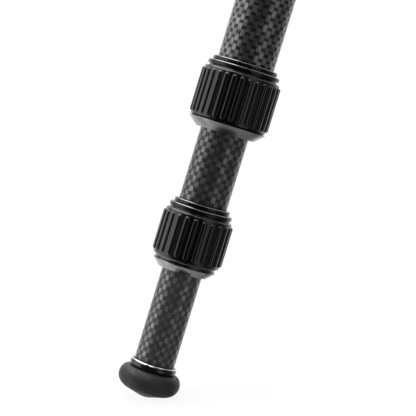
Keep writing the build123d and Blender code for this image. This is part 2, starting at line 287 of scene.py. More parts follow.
def make_weave_group() -> None:
    """Plain carbon weave on a tube.

    Each tow along the axis surfaces in tall bars with rounded ends. The bars of neighbouring tows stand
    half a repeat apart, and the tows around the tube show dark between them. The weave is real, but the
    bars' bright metallic colour is painted sheen that stands in for the reflection of the fibres along the
    axis, with a painted highlight at their crowns.
    """
    group = EffectGroup(
        "carbon_weave",
        {"Vector": None, "Tows": 32.0, "Tow Height": 0.0025, "Bar": 0.66, "Width": 1.0, "Bright": 0.2,
         "Dark": 0.02, "Metal": 0.9},
        {"Color": COLOR, "Metallic": FLOAT, "Roughness": FLOAT, "Height": FLOAT},
    )
    g = group.graph
    given = group.given
    waver_scale, waver_along, waver_around = 200.0, 0.5, 0.4
    side_power, end_power, fade = 6.0, 4.0, (0.55, 1.4)
    fibres_in_tow, fibre_run, patch_size = 6.0, 0.5, 0.6
    x, y, z = g.split(given["Vector"])
    turns = g.over(g.math("ARCTAN2", y, x), 2 * math.pi)
    wander = g.times(g.minus(g.noise(given["Vector"], waver_scale), 0.5), waver_along)
    around = g.plus(g.times(turns, given["Tows"]), g.times(wander, waver_around))
    along = g.plus(g.over(z, given["Tow Height"]), wander)
    aside = from_middle(g, around)
    beyond = from_middle(g, g.times(g.plus(along, g.math("FLOOR", around)), 0.5))
    wide = g.math("POWER", g.over(aside, given["Width"]), side_power)
    tall = g.math("POWER", g.over(beyond, given["Bar"]), end_power)
    edge = g.plus(wide, tall)
    light = g.ramp(edge, *fade, 1.0, 0.0)
    length = g.times(along, fibre_run)
    fibres = g.noise(g.join(g.times(around, fibres_in_tow), length, 0.0), 1.0)
    patch = g.noise(g.join(g.times(around, patch_size), length, 3.0), 1.0, 0.0)
    # Painted highlight: the bars' colour is brighter at their crowns.
    crown = g.ramp(edge, 0.0, 0.9, 1.0, 0.72)
    uneven = g.times(g.ramp(fibres, 0.25, 0.75, 0.80, 1.12), g.ramp(patch, 0.3, 0.7, 0.62, 1.2))
    # Painted sheen: the bars' bright metallic colour stands in for the reflection of the fibres along the
    # axis.
    bright = g.times(g.times(crown, uneven), given["Bright"])
    shade = g.plus(g.times(g.minus(bright, given["Dark"]), light), given["Dark"])
    sunk = g.times(g.math("COSINE", g.times(beyond, math.pi)), 0.5)
    group.give(
        Color=g.join(shade, shade, g.times(shade, 0.985)),
        Metallic=g.times(light, given["Metal"]),
        Roughness=g.ramp(light, 0.0, 1.0, 0.6, 0.38),
        Height=g.plus(g.minus(sunk, g.times(wide, 0.4)), g.times(fibres, 0.08)),
    )


# Finishes


def new_material(name: str) -> tuple[bpy.types.Material, Graph, bpy.types.Node]:
    """Make a material with nodes.

    Args:
        name: the material's name.

    Returns:
        The material, its graph and its Principled node.
    """
    material = bpy.data.materials.new(name)
    material.use_nodes = True
    return material, Graph(material.node_tree), material.node_tree.nodes["Principled BSDF"]


@dataclass(frozen=True)
class Finish:
    """Base of every finish: a Principled surface on the piece's own coordinates."""

    slot: Slot
    roughness: float = 0.5
    coat: float = 0.0
    coat_roughness: float = 0.05
    specular: float = 0.5
    edge_mm: float = 0.0

    def material(self, name: str, place: Matrix | None = None) -> bpy.types.Material:
        """Build the material for one piece.

        Args:
            name: the material's name.
            place: where the piece's own upright frame stands, or None for the object's frame.

        Returns:
            The material.
        """
        material, g, shader = new_material(name)
        for key, value in (("Roughness", self.roughness), ("Coat Weight", self.coat),
                           ("Coat Roughness", self.coat_roughness), ("Specular IOR Level", self.specular)):
            shader.inputs[key].default_value = value
        vector = g.add("TexCoord").outputs["Object"]
        if place is not None:
            inverse = place.inverted()
            turn = g.add("Mapping", vector_type="POINT")
            turn.inputs["Location"].default_value = inverse.to_translation()
            turn.inputs["Rotation"].default_value = inverse.to_euler("XYZ")
            g.feed(turn.inputs["Vector"], vector)
            vector = turn.outputs[0]
        self.surface(g, shader, vector)
        return material

    def surface(self, g: Graph, shader: bpy.types.Node, vector: Socket) -> None:
        """Draw the finish on the Principled node.

        Args:
            g: the material's graph.
            shader: its Principled node.
            vector: the coordinates to draw patterns on.
        """
        raise NotImplementedError

    def bump(self, g: Graph, shader: bpy.types.Node, height: object, strength: float,
             depth_mm: float) -> None:
        """Give the surface a fine relief, and its edges their small rounding.

        Args:
            g: the material's graph.
            shader: its Principled node.
            height: the relief's socket.
            strength: how strongly it shows.
            depth_mm: its depth.
        """
        bump = g.add("Bump")
        if self.edge_mm:
            edge = g.add("Bevel")
            edge.samples = 6
            edge.inputs["Radius"].default_value = self.edge_mm * MM
            g.feed(bump.inputs["Normal"], edge.outputs[0])
        bump.inputs["Strength"].default_value = strength
        bump.inputs["Distance"].default_value = depth_mm * MM
        g.feed(bump.inputs["Height"], height)
        g.feed(shader.inputs["Normal"], bump.outputs[0])


@dataclass(frozen=True)
class CarbonTube(Finish):
    """Clear-coated plain carbon weave, whose bright axial bars are painted sheen."""

    tows: int = 36
    tow_height_mm: float = 2.51
    bar: float = 0.68
    width: float = 0.96
    # Painted sheen: colour of the axial bars that stands in for their reflection.
    bright: float = 0.22
    dark: float = 0.004
    metal: float = 0.95

    def surface(self, g: Graph, shader: bpy.types.Node, vector: Socket) -> None:
        """Draw the weave round the tube's axis.

        Args:
            g: the material's graph.
            shader: its Principled node.
            vector: the coordinates to draw on.
        """
        weave = g.group("carbon_weave", Vector=vector, Tows=float(self.tows),
                        Tow_Height=self.tow_height_mm * MM, Bar=self.bar, Width=self.width,
                        Bright=self.bright, Dark=self.dark, Metal=self.metal)
        g.feed(shader.inputs["Base Color"], weave.outputs["Color"])
        for name in ("Metallic", "Roughness"):
            g.feed(shader.inputs[name], weave.outputs[name])
        self.bump(g, shader, weave.outputs["Height"], 0.15, 0.06)


@dataclass(frozen=True)
class Rubber(Finish):
    """Moulded black rubber with a fine uneven skin."""

    shade: float = 0.010
    variation: float = 0.35
    cloud: float = 90.0
    blue: float = 0.98
    grain: float = 2600.0
    relief: float = 0.06

    def surface(self, g: Graph, shader: bpy.types.Node, vector: Socket) -> None:
        """Draw the cloudy shade, the uneven gloss and the grain.

        Args:
            g: the material's graph.
            shader: its Principled node.
            vector: the coordinates to draw on.
        """
        low, high = self.shade * (1 - self.variation), self.shade * (1 + self.variation)
        cloud = g.speckle(vector, self.cloud, low, high)
        tint = g.times(cloud, self.blue)
        g.feed(shader.inputs["Base Color"], g.join(tint, tint, cloud))
        rough = g.speckle(vector, self.grain / 3, self.roughness * 0.8, self.roughness * 1.25)
        g.feed(shader.inputs["Roughness"], rough)
        self.bump(g, shader, g.noise(vector, self.grain), 0.25, self.relief)


@dataclass(frozen=True)
class TurnedMetal(Finish):
    """Metal turned on a lathe, bare or anodised."""

    color: tuple[float, float, float] = (0.5, 0.5, 0.51)
    metallic: float = 1.0
    rings: float = 5200.0
    cloud: float = 220.0
    relief: float = 0.012

    def surface(self, g: Graph, shader: bpy.types.Node, vector: Socket) -> None:
        """Draw the fine turned rings and a cloudy shade.

        Args:
            g: the material's graph.
            shader: its Principled node.
            vector: the coordinates to draw on.
        """
        shader.inputs["Metallic"].default_value = self.metallic
        turned = g.group("turned_rings", Vector=vector, Density=self.rings, Depth=1.0)
        rings = turned.outputs["Shade"]
        cloud = g.speckle(vector, self.cloud, 0.88, 1.1)
        shade = g.times(cloud, g.ramp(rings, 0.2, 0.8, 0.9, 1.08))
        g.feed(shader.inputs["Base Color"], g.join(*(g.times(shade, part) for part in self.color)))
        g.feed(shader.inputs["Roughness"],
               g.ramp(rings, 0.2, 0.8, self.roughness * 0.85, self.roughness * 1.2))
        self.bump(g, shader, turned.outputs["Height"], 0.3, self.relief)


@dataclass(frozen=True)
class PowderCoat(Finish):
    """Fine-textured coat on a cast or moulded piece."""

    shade: float = 0.018
    grain: float = 1500.0
    relief: float = 0.05

    def surface(self, g: Graph, shader: bpy.types.Node, vector: Socket) -> None:
        """Draw the speckled shade, the uneven gloss and the grain.

        Args:
            g: the material's graph.
            shader: its Principled node.
            vector: the coordinates to draw on.
        """
        cloud = g.speckle(vector, self.grain / 2, self.shade * 0.8, self.shade * 1.25)
        g.feed(shader.inputs["Base Color"], g.join(cloud, cloud, cloud))
        rough = g.speckle(vector, self.grain / 2, self.roughness - 0.05, self.roughness + 0.06)
        g.feed(shader.inputs["Roughness"], rough)
        self.bump(g, shader, g.noise(vector, self.grain, 1.0), 0.4, self.relief)


@dataclass(frozen=True)
class BandedMetal(TurnedMetal):
    """Turned metal that is black apart from bright metal bands, whose heights are in its own upright frame.
    Some bands are bare metal; the others are painted highlights, laid where thin highlight lines fall.
    """

    black: float = 0.004
    metal_and_highlight_bands_mm: Pairs = ()

    def surface(self, g: Graph, shader: bpy.types.Node, vector: Socket) -> None:
        """Draw the turned metal, then the black outside the bands.

        Args:
            g: the material's graph.
            shader: its Principled node.
            vector: the coordinates to draw on.
        """
        super().surface(g, shader, vector)
        height = g.split(vector)[2]
        band = None
        for low, high in self.metal_and_highlight_bands_mm:
            above = g.math("GREATER_THAN", height, low * MM)
            inside = g.times(above, g.math("LESS_THAN", height, high * MM))
            band = inside if band is None else g.math("MAXIMUM", band, inside)
        # Bright metal inside the bands, several of them painted highlights, and black outside them.
        bare = shader.inputs["Base Color"].links[0].from_socket
        g.feed(shader.inputs["Base Color"], g.mix(band, (self.black,) * 3 + (1,), bare))
        g.feed(shader.inputs["Metallic"], band)


FINISHES: dict[Slot, Finish] = {
    Slot.CARBON: CarbonTube(Slot.CARBON, coat=0.5, coat_roughness=0.10, specular=0.15),
    Slot.GRIP_RUBBER: Rubber(Slot.GRIP_RUBBER, roughness=0.13, shade=0.001, relief=0.002, specular=0.42,
                             coat=0.3, coat_roughness=0.05),
    Slot.FOOT_RUBBER: Rubber(Slot.FOOT_RUBBER, roughness=0.50, shade=0.014, grain=1800.0, relief=0.10,
                             specular=0.38),
    Slot.SATIN_METAL: TurnedMetal(Slot.SATIN_METAL, roughness=0.18, color=(0.46, 0.46, 0.47)),
    Slot.GLOSS_BLACK: TurnedMetal(Slot.GLOSS_BLACK, roughness=0.20, color=(0.004, 0.004, 0.004), metallic=0.0,
                                  relief=0.004, specular=0.35),
    Slot.CAST_BLACK: PowderCoat(Slot.CAST_BLACK, roughness=0.46, shade=0.012, relief=0.03, specular=0.35,
                                edge_mm=0.7),
    Slot.NYLON: PowderCoat(Slot.NYLON, roughness=0.55, shade=0.05, grain=900.0, relief=0.02),
    Slot.STEEL: TurnedMetal(Slot.STEEL, roughness=0.22, color=(0.50, 0.49, 0.48), edge_mm=0.35),
}

# Modelling with Blender's own operators


def clear_selection() -> None:
    """Leave edit mode and deselect everything."""
    if bpy.context.object and bpy.context.object.mode != "OBJECT":
        bpy.ops.object.mode_set(mode="OBJECT")
    bpy.ops.object.select_all(action="DESELECT")


def make_active(piece: bpy.types.Object) -> None:
    """Select one piece alone and make it active.

    Args:
        piece: the piece.
    """
    clear_selection()
    piece.select_set(True)
    bpy.context.view_layer.objects.active = piece


def select_vertices(piece: bpy.types.Object, wanted: Callable[[Vector], bool]) -> None:
    """In edit mode, select the vertices whose place passes a test.

    Args:
        piece: the piece in edit mode.
        wanted: function of a vertex's place.
    """
    bpy.ops.mesh.select_all(action="DESELECT")
    mesh = bmesh.from_edit_mesh(piece.data)
    for vertex in mesh.verts:
        vertex.select = wanted(vertex.co)
    mesh.select_flush(True)
    bmesh.update_edit_mesh(piece.data)


def apply_modifier(piece: bpy.types.Object, kind: str, **settings: object) -> None:
    """Add a modifier and apply it.

    Args:
        piece: the piece that it works on.
        kind: the modifier's type.
        **settings: its settings.
    """
    make_active(piece)
    modifier = piece.modifiers.new(kind.lower(), kind)
    for name, value in settings.items():
        setattr(modifier, name, value)
    bpy.ops.object.modifier_apply(modifier=modifier.name)


@contextmanager
def editing(piece: bpy.types.Object) -> Iterator[None]:
    """Edit one piece with all of it selected, and leave edit mode at the end.

    Args:
        piece: the piece to edit.
    """
    make_active(piece)
    bpy.ops.object.mode_set(mode="EDIT")
    bpy.ops.mesh.select_all(action="SELECT")
    yield
    bpy.ops.object.mode_set(mode="OBJECT")


def face_outward() -> None:
    """In edit mode, turn every face outwards."""
    bpy.ops.mesh.select_all(action="SELECT")
    bpy.ops.mesh.normals_make_consistent(inside=False)


def add_circle(name: str, radius: float, height: float, vertices: int, fill: str) -> bpy.types.Object:
    """Start a turned piece with a circle about Z.

    Args:
        name: the piece's name.
        radius: the circle's radius in millimetres.
        height: its height.
        vertices: divisions around.
        fill: how it is filled.

    Returns:
        The piece.
    """
    clear_selection()
    bpy.ops.mesh.primitive_circle_add(
        vertices=vertices, radius=radius * MM, location=(0, 0, height * MM), fill_type=fill)
    piece = bpy.context.object
    piece.name = name
    bpy.ops.object.transform_apply(location=True, rotation=False, scale=False)
    return piece


def draw_out(corner: tuple[float, float], points: Outline) -> None:
    """In edit mode, extrude the selected ring of edges from point to point, to a tip where a radius is 0.

    Args:
        corner: the ring's (radius, height) in millimetres.
        points: the (radius, height) places that it goes to.
    """
    for radius, height in points:
        rise = (height - corner[1]) * MM
        bpy.ops.mesh.extrude_edges_move(TRANSFORM_OT_translate={"value": (0, 0, rise)})
        if radius == 0:
            bpy.ops.mesh.merge(type="CENTER")
            return
        ratio = radius / corner[0]
        bpy.ops.transform.resize(value=(ratio, ratio, 1), center_override=(0, 0, height * MM))
        corner = (radius, height)


def smooth_shading(piece: bpy.types.Object) -> None:
    """Shade a piece smooth up to an angle."""
    make_active(piece)
    bpy.ops.object.shade_smooth_by_angle(angle=SMOOTH_ANGLE)


def join_pieces(pieces: list[bpy.types.Object]) -> bpy.types.Object:
    """Join pieces into the first one.

    Args:
        pieces: the pieces to join.

    Returns:
        The first piece, which holds them all.
    """
    make_active(pieces[0])
    for piece in pieces:
        piece.select_set(True)
    bpy.ops.object.join()
    smooth_shading(pieces[0])
    return pieces[0]


def lathe(name: str, outline: Outline, segments: int = 112, round_mm: float = 0.25) -> bpy.types.Object:
    """Turn a closed outline about Z: a circle is drawn out and resized ring by ring.

    Args:
        name: the piece's name.
        outline: (radius, height) corners in millimetres. A radius of 0 is allowed at the first
            and last corner, for a piece with no bore.
        segments: divisions around.
        round_mm: rounding of sharp edges.

    Returns:
        The piece, upright on the origin.
    """
    solid = outline[0][0] == 0
    corner, rest = (outline[1], outline[2:]) if solid else (outline[0], outline[1:] + outline[:1])
    piece = add_circle(name, *corner, segments, "TRIFAN" if solid else "NOTHING")
    with editing(piece):
        if solid:
            select_vertices(piece, lambda co: co.xy.length < ON_AXIS)
            bpy.ops.transform.translate(value=(0, 0, (outline[0][1] - corner[1]) * MM))
            select_vertices(piece, lambda co: co.xy.length > ON_AXIS)
        draw_out(corner, rest)
        bpy.ops.mesh.select_all(action="SELECT")
        bpy.ops.mesh.remove_doubles(threshold=SAME_POINT)
        face_outward()
    if round_mm > 0:
        apply_modifier(piece, "BEVEL", width=round_mm * MM, segments=2, limit_method="ANGLE",
                       angle_limit=BEVEL_ANGLE, harden_normals=False)
        with editing(piece):
            bpy.ops.mesh.remove_doubles(threshold=SLIVER)
    smooth_shading(piece)
    return piece


def arc(centre: tuple[float, float], radius: tuple[float, float], start: float, end: float,
        steps: int) -> Outline:
    """Points along part of an ellipse.

    Args:
        centre: its (radius, height) centre in millimetres.
        radius: its two half sizes.
        start: first angle in degrees, from the outward direction.
        end: last angle.
        steps: number of divisions.

    Returns:
        The points.
    """
    points = []
    for i in range(steps + 1):
        angle = math.radians(start + (end - start) * i / steps)
        points.append((centre[0] + radius[0] * math.cos(angle), centre[1] + radius[1] * math.sin(angle)))
    return points


def copy_piece(piece: bpy.types.Object, name: str, place: Matrix) -> bpy.types.Object:
    """Copy a piece with its own mesh, with its place in the mesh.

    Args:
        piece: the piece to copy.
        name: the copy's name.
        place: where the copy goes.

    Returns:
        The copy.
    """
    twin = piece.copy()
    twin.data = piece.data.copy()
    twin.name = twin.data.name = name
    bpy.context.scene.collection.objects.link(twin)
    twin.data.transform(place)
    return twin


def finish_piece(piece: bpy.types.Object, body: str, node: str | None,
                 material: bpy.types.Material) -> None:
    """Dress a piece, set it on its body and hide the node that it stands for.

    Args:
        piece: the finished piece.
        body: the body that it rides on.
        node: the node that it replaces, or None.
        material: its material.
    """
    piece.data.materials.clear()
    piece.data.materials.append(material)
    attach(piece, body)
    if node:
        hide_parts(node)
    log.info("%s on %s: %d faces", piece.name, body, len(piece.data.polygons))


# The leg


@dataclass(frozen=True)
class Sizes:
    """Sizes of the tripod in millimetres, as in the solids."""

    leg_angle: float = 18.0
    leg_length: float = 650.0
    hinge_radius: float = 40.0
    tube_radius: float = 10.0
    tube_wall: float = 1.2
    foot_height: float = 14.3
    foot_radius: float = 15.4
    foot_widest: float = 9.4
    foot_side_centre: float = 8.6
    foot_shoulder: float = 11.8
    foot_tip: float = 3.4
    foot_bore_base: float = 6.75
    stud_radius: float = 3.0
    stud_length: float = 7.5
    plug_length: float = 20.0
    collar_radius: float = 11.6
    collar_height: float = 3.7
    collar_bulge: float = 1.0
    # Painted highlight line on the collar: its depths below the collar's top.
    collar_highlight_line: tuple[float, float] = (0.55, 0.08)
    fit: float = 0.05

    @property
    def foot_circle(self) -> float:
        """Radius of the circle that the feet's tips stand on."""
        return self.hinge_radius + self.leg_length * math.sin(math.radians(self.leg_angle))

    def leg_place(self, azimuth: float) -> Matrix:
        """Place a leg.

        Args:
            azimuth: the way that it points, in degrees.

        Returns:
            Where its upright frame stands, in metres.
        """
        turn = Matrix.Rotation(math.radians(azimuth), 4, "Z")
        step = Matrix.Translation((self.foot_circle * MM, 0, 0))
        return turn @ step @ Matrix.Rotation(-math.radians(self.leg_angle), 4, "Y")


SIZES = Sizes()


@dataclass(frozen=True)
class Tube:
    """One section of a leg, with its body and its weave."""

    tier: str
    body: str
    radius: float
    base: float
    top: float
    weave: Finish
    wall: float = SIZES.tube_wall

    def build(self) -> bpy.types.Object:
        """Model the tube.

        Returns:
            The tube, upright in the leg's frame.
        """
        bore = self.radius - self.wall
        outline = [(bore, self.base), (self.radius, self.base), (self.radius, self.top), (bore, self.top)]
        return lathe(self.tier + "_tube", outline, segments=160, round_mm=0.1)


TUBES = (
    Tube("lower", "_lower", SIZES.tube_radius, 18.05, 523.45,
         replace(FINISHES[Slot.CARBON], tows=28, tow_height_mm=2.42, bar=0.56, width=0.86, bright=0.175,
                 dark=0.026, metal=0.72)),
    Tube("middle", "_middle", 12.0, 79.45, 582.15,
         replace(FINISHES[Slot.CARBON], tows=30, tow_height_mm=2.45, bar=0.60, width=0.92, bright=0.155,
                 dark=0.012, metal=0.85)),
    Tube("upper", "", 14.0, 149.75, 629.95, FINISHES[Slot.CARBON]),
)


@dataclass(frozen=True)
class TwistLock:
    """One twist lock: rim and nut, ribbed grip and ringed sleeve. Heights count from the rim's face."""

    tier: str
    sleeve_body: str
    base: float
    tube_radius: float
    rim_flat: float
    rim_radius: float
    bevel_height: float
    groove: float
    seat_radius: float
    thread_radius: float
    sleeve_radius: float
    neck_radius: float
    ring_radius: float
    grip_length: float
    rib_count: int
    rim_shade: float = 0.42
    rim_roughness: float = 0.14
    rim_land: float = 0.2
    groove_depth: float = 0.0
    groove_edge: float = 0.1
    neck_height: float = 0.7
    tube_gap: float = 0.4
    seat_gap: float = 1.25
    seat_height: float = 2.4
    chamber_gap: float = 2.85
    chamber_base: float = 6.1
    chamber_top: float = 12.3
    sleeve_base: float = 12.7
    sleeve_gap: float = 2.05
    sleeve_lip: float = 2.0
    ring_height: float = 2.0
    ring_gap: float = 0.3
    ring_bevel: float = 0.5
    # Painted highlight line under each ring's top edge: its depths below the top.
    ring_highlight_line: tuple[float, float] = (0.34, 0.06)
    bond: float = 0.05
    grip_wall: float = 0.95
    grip_crown: float = 0.06
    grip_crown_run: float = 2.6
    grip_lip: Pairs = ((0.05, 0.64), (0.62, 0.08), (0.85, 0.0))
    bore_edge: float = 0.05
    rib_height: float = 0.9
    rib_width: float = 2.5
    rib_margin: float = 0.9
    rib_steps: Pairs = ((0.03, 0.25), (0.07, 0.25), (0.13, 0.20), (0.20, 0.14), (0.27, 0.10), (0.30, 0.06))

    @property
    def grip_base(self) -> float:
        """Height of the grip's lower end."""
        return self.bevel_height + self.rim_land + self.groove

    @property
    def grip_top(self) -> float:
        """Height of the grip's upper end."""
        return self.grip_base + self.grip_length

    @property
    def ring_base(self) -> float:
        """Height of the wider ring's lower face."""
        return self.grip_top + self.neck_height + self.ring_gap

    def nut(self) -> bpy.types.Object:
        """Rim, groove, seat and neck of the nut.

        Returns:
            The nut, upright on its rim's face.
        """
        tube = self.tube_radius
        bore, chamber = tube + self.tube_gap, tube + self.chamber_gap
        rim_top = self.bevel_height + self.rim_land
        groove: Outline = []
        if self.groove_depth:
            floor = self.seat_radius - self.groove_depth
            edge = self.grip_base - self.groove_edge
            groove = [(floor, rim_top), (floor, edge - self.groove_depth), (self.seat_radius, edge)]
        top = self.grip_top + self.neck_height
        return lathe(self.tier + "_nut", [
            (bore, 0), (tube + self.rim_flat, 0), (self.rim_radius, self.bevel_height),
            (self.rim_radius, rim_top), *(groove or [(self.seat_radius, rim_top)]),
            (self.seat_radius, self.grip_top), (self.neck_radius, self.grip_top), (self.neck_radius, top),
            (self.thread_radius, top), (self.thread_radius, self.chamber_top), (chamber, self.chamber_top),
            (chamber, self.chamber_base), (tube + self.seat_gap, self.seat_height), (bore, self.seat_height),
        ], round_mm=0.12)

    def nut_finish(self) -> BandedMetal:
        """Bright rim, black above it, and a bright bevel under the grip where a groove leaves one.
        The rim is the nut's bare metal. The black above it is the nut's dark colour and also painted shade on
        the neck. The bevel's bright band is a painted highlight line.

        Returns:
            The finish.
        """
        bands = [(self.base - 1, self.base + self.bevel_height + self.rim_land / 2)]
        # Painted highlight: a bright metal band on the groove's bevel, where a highlight line falls.
        if self.groove_depth:
            edge = self.base + self.grip_base - self.groove_edge
            bands.append((edge - self.groove_depth + 0.04, edge + 0.02))
        # Black outside the bands, which is also painted shade on the neck.
        return BandedMetal(Slot.SATIN_METAL, roughness=self.rim_roughness, color=(self.rim_shade,) * 3,
                           metal_and_highlight_bands_mm=tuple(bands))

    def sleeve_finish(self) -> BandedMetal:
        """Black sleeve with thin bright edges on its rings: bright metal bands at the rings' top edges,
        painted highlight lines.

        Returns:
            The finish.
        """
        first = self.base + self.ring_base + self.ring_height
        second = first + self.ring_gap + self.ring_height
        # Painted highlights: thin bright metal bands just under each ring's top edge.
        bands = tuple((top - self.ring_highlight_line[0], top - self.ring_highlight_line[1]) for top in (first, second))
        return BandedMetal(Slot.GLOSS_BLACK, roughness=0.16, color=(0.30,) * 3, specular=0.3, black=0.002,
                           relief=0.003, metal_and_highlight_bands_mm=bands)

    def sleeve(self) -> bpy.types.Object:
        """Sleeve with its two thin rings.

        Returns:
            The sleeve, in the nut's frame.
        """
        inner, lip = self.tube_radius + self.sleeve_gap, self.tube_radius + self.tube_gap
        low, outer, wide, bevel = self.sleeve_base, self.sleeve_radius, self.ring_radius, self.ring_bevel
        first_top = self.ring_base + self.ring_height
        second_base = first_top + self.ring_gap
        top = second_base + self.ring_height
        return lathe(self.tier + "_sleeve", [
            (lip, low), (outer, low), (outer, self.ring_base), (wide, self.ring_base),
            (wide, first_top - bevel), (wide - bevel, first_top), (outer - bevel, first_top),
            (outer - bevel, second_base), (outer, second_base), (outer, top - bevel), (outer - bevel, top),
            (inner, top), (inner, low + self.sleeve_lip), (lip, low + self.sleeve_lip),
        ], round_mm=0.14)

    def grip(self) -> bpy.types.Object:
        """Ribbed rubber: columns of faces are inset and raised into ribs, then the whole is subdivided.

        Returns:
            The grip, in the nut's frame.
        """
        count = self.rib_count
        shrink = 3 / (2 + math.cos(2 * math.pi / count))
        root = (self.seat_radius + self.bond + self.grip_wall) * shrink
        bore = (self.seat_radius + self.bond) * shrink
        edge = self.rib_margin * 0.85
        low, high = self.grip_base + edge, self.grip_top - edge
        piece = add_circle(self.tier + "_grip", root, low, count, "NOTHING")
        crown, run = root + self.grip_crown, self.grip_crown_run
        with editing(piece):
            draw_out((root, low), [(crown, low + run), (crown, high - run), (root, high)])
            face_outward()
            self.raise_ribs(piece, root, low, high)
            for level, end, way in ((high, self.grip_top, 1), (low, self.grip_base, -1)):
                select_vertices(piece, lambda co: abs(co.z - level * MM) < SAME_POINT)
                lip = [(root - inward, end - way * back) for inward, back in self.grip_lip]
                inside = [(bore + self.bore_edge, end), (bore, end - way * self.bore_edge)]
                draw_out((root, level), lip + inside)
            select_vertices(piece, lambda co: co.xy.length < (bore + 0.01) * MM)
            bpy.ops.mesh.bridge_edge_loops()
            face_outward()
        apply_modifier(piece, "SUBSURF", levels=2, render_levels=2)
        make_active(piece)
        bpy.ops.object.shade_smooth()
        return piece

    def raise_ribs(self, piece: bpy.types.Object, root: float, low: float, high: float) -> None:
        """Inset a rib's outline in every column of faces and raise it.

        Args:
            piece: the grip in edit mode.
            root: radius at the foot of the ribs.
            low: height of the lowest row of faces.
            high: height of the highest row.
        """
        pitch = 2 * math.pi / self.rib_count
        mesh = bmesh.from_edit_mesh(piece.data)
        mesh.faces.ensure_lookup_table()
        centre = mesh.faces[0].calc_center_median()
        start = math.atan2(centre.y, centre.x)
        margin = (2 * root * math.sin(pitch / 2) - self.rib_width) / 2
        bpy.ops.mesh.select_mode(type="FACE")

        def pick(wanted: Callable[[int, float], bool]) -> None:
            """Select the faces in the middle of a column that pass a test.

            Args:
                wanted: function of a face's column and its height.
            """
            bpy.ops.mesh.select_all(action="DESELECT")
            mesh = bmesh.from_edit_mesh(piece.data)
            for face in mesh.faces:
                co = face.calc_center_median()
                turn = (math.atan2(co.y, co.x) - start) / pitch
                if abs(turn - round(turn)) < 0.1 and wanted(round(turn) % self.rib_count, co.z / MM):
                    face.select = True
            bmesh.update_edit_mesh(piece.data)

        for odd in (0, 1):
            pick(lambda column, z: column % 2 == odd and low < z < high)
            bpy.ops.mesh.inset(thickness=margin * MM, depth=0)
        pick(lambda column, z: low + margin < z < high - margin)
        for thickness, share in self.rib_steps:
            depth = self.rib_height * share
            bpy.ops.mesh.inset(thickness=thickness * MM, depth=depth * MM)
        bpy.ops.mesh.select_mode(type="VERT")


LOCKS = (
    TwistLock("lower_lock", "_middle", base=64.7, tube_radius=10.0, rim_flat=2.4, rim_radius=15.65,
              bevel_height=3.4, groove=1.8, seat_radius=15.55, thread_radius=14.0, sleeve_radius=13.9,
              neck_radius=15.05, ring_radius=15.65, grip_length=23.8, rib_count=24, groove_depth=0.45),
    TwistLock("upper_lock", "", base=135.0, tube_radius=12.0, rim_flat=2.5, rim_radius=19.15,
              bevel_height=4.2, groove=0.1, seat_radius=17.85, thread_radius=16.25, sleeve_radius=16.15,
              neck_radius=16.95, ring_radius=17.85, grip_length=25.3, rib_count=30, rim_shade=0.30,
              rim_roughness=0.24),
)


